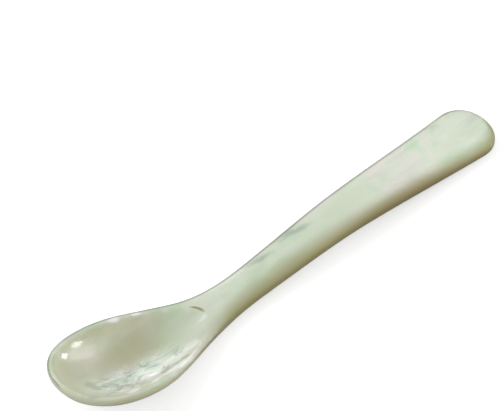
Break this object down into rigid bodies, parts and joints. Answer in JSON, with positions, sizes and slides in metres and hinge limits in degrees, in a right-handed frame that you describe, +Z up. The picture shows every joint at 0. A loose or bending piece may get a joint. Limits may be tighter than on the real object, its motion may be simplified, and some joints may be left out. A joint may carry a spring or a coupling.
{
  "type": "caviar spoon",
  "caption": "Small one-piece spoon with an oval hollowed bowl that rises to its tip, a narrow neck and an arched handle that widens to a rounded end.",
  "frame": {"origin": "centre of the footprint, on the surface that the spoon lies on", "axes": "+X from the tip of the bowl to the end of the handle, +Z up out of the bowl's hollow, +Y across the spoon"},
  "size_m": [0.12, 0.022, 0.0135],
  "materials": {
    "nacre": "polished mother of pearl, pale green and cream with a silky sheen"
  },
  "bodies": {
    "root": {"spoon": "nacre"}
  },
  "joints": []
}
